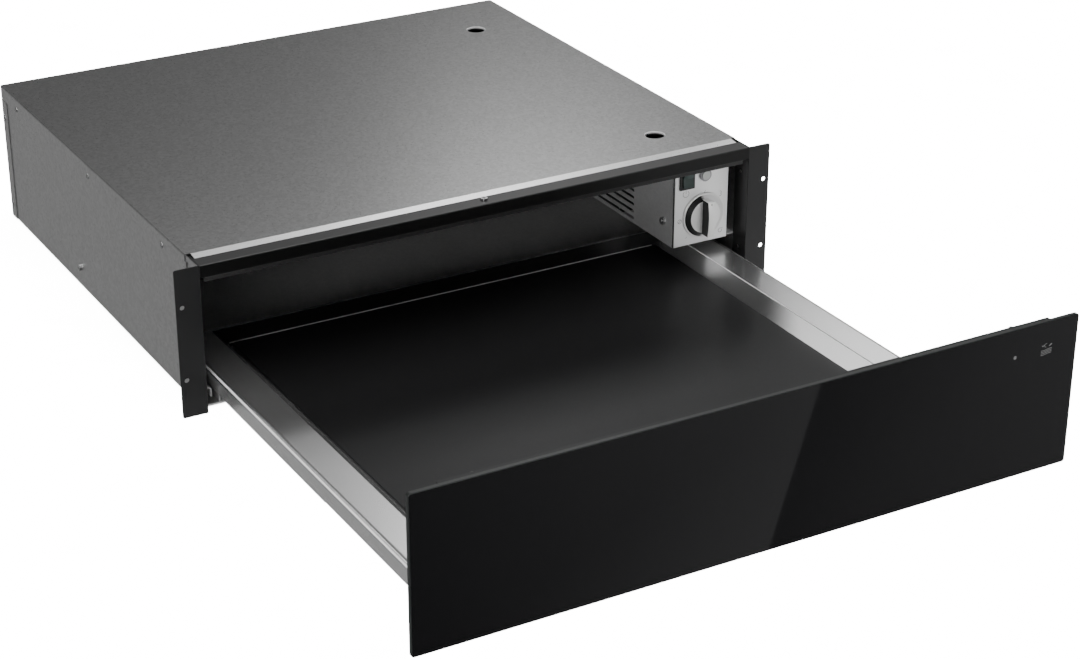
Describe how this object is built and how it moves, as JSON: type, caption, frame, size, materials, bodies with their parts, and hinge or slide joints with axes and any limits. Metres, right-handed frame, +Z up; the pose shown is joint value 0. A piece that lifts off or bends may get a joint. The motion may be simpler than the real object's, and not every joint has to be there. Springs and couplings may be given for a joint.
{
  "type": "built-in warming drawer",
  "caption": "Built-in warming drawer, drawn out: galvanised casing with mounting flanges, control box, fan and heating tube, tray on ball runners, black glass front",
  "frame": {"origin": "centre of the underside of the casing, halfway from its front edge to its back", "axes": "+Y from the drawer front to the back of the casing, +Z up, +X to the right as seen from the front"},
  "size_m": [0.594, 0.9391, 0.1392],
  "materials": {
    "galvanised": "dull, finely spangled",
    "tray_steel": "satin",
    "runner_steel": "zinc plated",
    "fastener": "zinc plated",
    "black_metal": "satin",
    "front_glass": "polished, printed black behind",
    "mat": "fine matt grain",
    "seal": "matt",
    "plate": "satin",
    "knob": "satin",
    "rocker": "gloss",
    "black_plastic": "matt",
    "grey_plastic": "matt",
    "pale_plastic": "matt",
    "clear_plastic": "clear",
    "copper": "enamelled wire",
    "tube": "annealed",
    "grey_metal": "satin"
  },
  "bodies": {
    "casing": {"base_plate": "galvanised", "side_panel_left": "galvanised", "side_panel_right": "galvanised", "top_cover": "galvanised", "back_panel": "galvanised", "front_rail": "black_metal", "rail_seal": "seal", "mounting_flange_left": "black_metal", "mounting_flange_right": "black_metal", "casing_rivets": "fastener", "flange_rivets": "fastener", "runner_screws": "fastener", "rail_screw": "fastener", "runner_rail_left": "runner_steel", "runner_rail_right": "runner_steel", "control_box": "galvanised", "control_plate": "plate", "box_screws": "fastener", "thermostat_body": "pale_plastic", "thermostat_nut": "fastener", "switch_housing": "black_plastic", "lamp_body": "grey_plastic", "lamp_lens": "clear_plastic", "fan_frame": "black_plastic", "fan_stator": "copper", "fan_screws": "fastener", "heating_element": "tube", "element_brackets": "tray_steel", "element_terminals": "pale_plastic", "thermal_cutout": "pale_plastic", "terminal_block": "pale_plastic", "cable_inlet": "black_plastic", "inlet_nut": "black_plastic", "latch_housing": "grey_plastic"},
    "drawer": {"drawer_tray": "tray_steel", "floor_mat": "mat", "front_carrier": "grey_metal", "front_glass": "front_glass", "light_guide": "clear_plastic", "front_screws": "fastener", "front_buffers": "seal", "latch_striker": "tray_steel", "runner_slider_left": "runner_steel", "runner_slider_right": "runner_steel"},
    "middle_left": {"runner_middle_left": "runner_steel"},
    "middle_right": {"runner_middle_right": "runner_steel"},
    "outer_balls_left": {"cage_outer_left": "runner_steel"},
    "outer_balls_right": {"cage_outer_right": "runner_steel"},
    "inner_balls_left": {"cage_inner_left": "runner_steel"},
    "inner_balls_right": {"cage_inner_right": "runner_steel"},
    "knob": {"thermostat_knob": "knob", "thermostat_shaft": "fastener"},
    "rocker": {"switch_rocker": "rocker"},
    "fan_rotor": {"fan_impeller": "black_plastic", "fan_shaft": "fastener"},
    "latch_pin": {"latch_plunger": "pale_plastic"}
  },
  "joints": [
    {"name": "drawer_slide", "type": "slide", "parent": "casing", "child": "drawer", "axis": [0, -1, 0], "range_m": [-0.413, 0]},
    {"name": "middle_slide_left", "type": "slide", "parent": "casing", "child": "middle_left", "axis": [0, -1, 0], "range_m": [-0.2065, 0]},
    {"name": "middle_slide_right", "type": "slide", "parent": "casing", "child": "middle_right", "axis": [0, -1, 0], "range_m": [-0.2065, 0]},
    {"name": "outer_ball_slide_left", "type": "slide", "parent": "casing", "child": "outer_balls_left", "axis": [0, -1, 0], "range_m": [-0.10325, 0]},
    {"name": "outer_ball_slide_right", "type": "slide", "parent": "casing", "child": "outer_balls_right", "axis": [0, -1, 0], "range_m": [-0.10325, 0]},
    {"name": "inner_ball_slide_left", "type": "slide", "parent": "casing", "child": "inner_balls_left", "axis": [0, -1, 0], "range_m": [-0.30975, 0]},
    {"name": "inner_ball_slide_right", "type": "slide", "parent": "casing", "child": "inner_balls_right", "axis": [0, -1, 0], "range_m": [-0.30975, 0]},
    {"name": "knob_turn", "type": "hinge", "parent": "casing", "child": "knob", "pos_m": [0.236, -0.2448, 0.071], "axis": [0, 1, 0], "range_deg": [-90, 135]},
    {"name": "rocker_tilt", "type": "hinge", "parent": "casing", "child": "rocker", "pos_m": [0.218, -0.2432, 0.112], "axis": [1, 0, 0], "range_deg": [-18, 0]},
    {"name": "fan_spin", "type": "hinge", "parent": "casing", "child": "fan_rotor", "pos_m": [0.2143, -0.1122, 0.0864], "axis": [1, 0, 0], "continuous": true},
    {"name": "latch_press", "type": "slide", "parent": "casing", "child": "latch_pin", "axis": [0, 1, 0], "range_m": [0, 0.006], "stiffness_N_per_m": 400, "springref_m": -0.004}
  ],
  "couplings": [
    {"joint": "middle_slide_left", "follows": "drawer_slide", "ratio": 0.5},
    {"joint": "middle_slide_right", "follows": "drawer_slide", "ratio": 0.5},
    {"joint": "outer_ball_slide_left", "follows": "drawer_slide", "ratio": 0.25},
    {"joint": "outer_ball_slide_right", "follows": "drawer_slide", "ratio": 0.25},
    {"joint": "inner_ball_slide_left", "follows": "drawer_slide", "ratio": 0.75},
    {"joint": "inner_ball_slide_right", "follows": "drawer_slide", "ratio": 0.75}
  ]
}
